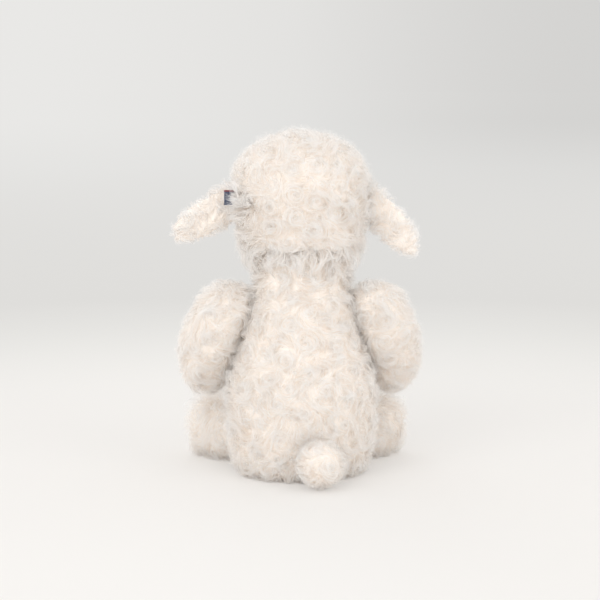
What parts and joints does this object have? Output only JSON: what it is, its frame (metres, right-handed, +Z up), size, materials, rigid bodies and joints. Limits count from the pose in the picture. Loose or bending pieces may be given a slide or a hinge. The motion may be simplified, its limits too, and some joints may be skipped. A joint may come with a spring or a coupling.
{
  "type": "stuffed toy sheep",
  "caption": "Seated curly-pile plush sheep with weighted seat, turning head, swinging arms, folding legs, drooping ears and a short tail.",
  "frame": {"origin": "middle of the flat patch that the seat rests on", "axes": "+Z up through the head, -Y the way the sheep faces, +X its own left side"},
  "size_m": [0.1843, 0.1642, 0.255],
  "materials": {
    "long_pile": "curly cream pile, about 10 mm long",
    "short_pile": "short cream pile",
    "fibre": "loose polyester fibre",
    "bag_cloth": "plain woven bag of beans",
    "thread": "satin stitch embroidery",
    "eye_plastic": "glossy black",
    "washer_plastic": "moulded, matt",
    "ribbon": "woven navy ribbon, bare"
  },
  "bodies": {
    "torso": {"torso_cover": "long_pile", "torso_filling": "fibre", "bean_bag": "bag_cloth"},
    "neck": {"neck_wad": "fibre"},
    "head": {"head_cover": "long_pile", "head_filling": "fibre", "muzzle_cover": "short_pile", "muzzle_filling": "fibre", "nose_stitching": "thread", "mouth_stitching": "thread", "eye_left": "eye_plastic", "eye_right": "eye_plastic", "eye_washer_left": "washer_plastic", "eye_washer_right": "washer_plastic", "ear_tag": "ribbon"},
    "left_ear": {"ear_left": "long_pile", "ear_lining_left": "short_pile"},
    "right_ear": {"ear_right": "long_pile", "ear_lining_right": "short_pile"},
    "left_arm": {"arm_cover_left": "long_pile", "arm_filling_left": "fibre"},
    "right_arm": {"arm_cover_right": "long_pile", "arm_filling_right": "fibre"},
    "left_leg": {"leg_cover_left": "long_pile", "leg_filling_left": "fibre", "sole_left": "short_pile"},
    "right_leg": {"leg_cover_right": "long_pile", "leg_filling_right": "fibre", "sole_right": "short_pile"},
    "tail": {"tail_cover": "long_pile", "tail_filling": "fibre"}
  },
  "joints": [
    {"name": "head_turn", "type": "hinge", "parent": "torso", "child": "neck", "pos_m": [0, 0, 0.158], "axis": [0, 0, 1], "range_deg": [-40, 40], "stiffness_Nm_per_rad": 0.15},
    {"name": "head_nod", "type": "hinge", "parent": "neck", "child": "head", "pos_m": [0, 0, 0.158], "axis": [1, 0, 0], "range_deg": [-18, 20], "stiffness_Nm_per_rad": 0.45},
    {"name": "left_ear_flap", "type": "hinge", "parent": "head", "child": "left_ear", "pos_m": [0.04828, -0.00484, 0.2055], "axis": [0, 0, -1], "range_deg": [-25, 40], "stiffness_Nm_per_rad": 0.005},
    {"name": "right_ear_flap", "type": "hinge", "parent": "head", "child": "right_ear", "pos_m": [-0.04828, -0.00484, 0.2055], "axis": [0, 0, 1], "range_deg": [-25, 40], "stiffness_Nm_per_rad": 0.005},
    {"name": "left_arm_swing", "type": "hinge", "parent": "torso", "child": "left_arm", "pos_m": [0.03993, 0, 0.1185], "axis": [-0.9563, 0, -0.2924], "range_deg": [-30, 80], "stiffness_Nm_per_rad": 0.06},
    {"name": "right_arm_swing", "type": "hinge", "parent": "torso", "child": "right_arm", "pos_m": [-0.03993, 0, 0.1185], "axis": [-0.9563, 0, 0.2924], "range_deg": [-30, 80], "stiffness_Nm_per_rad": 0.06},
    {"name": "left_leg_lift", "type": "hinge", "parent": "torso", "child": "left_leg", "pos_m": [0.037, -0.0345, 0.02], "axis": [-0.788, -0.6157, 0], "range_deg": [-40, 30], "stiffness_Nm_per_rad": 0.08},
    {"name": "right_leg_lift", "type": "hinge", "parent": "torso", "child": "right_leg", "pos_m": [-0.037, -0.0345, 0.02], "axis": [-0.788, 0.6157, 0], "range_deg": [-40, 30], "stiffness_Nm_per_rad": 0.08},
    {"name": "tail_wag", "type": "hinge", "parent": "torso", "child": "tail", "pos_m": [-0.007, 0.04534, 0.021], "axis": [0, 0, 1], "range_deg": [-18, 18], "stiffness_Nm_per_rad": 0.005}
  ]
}
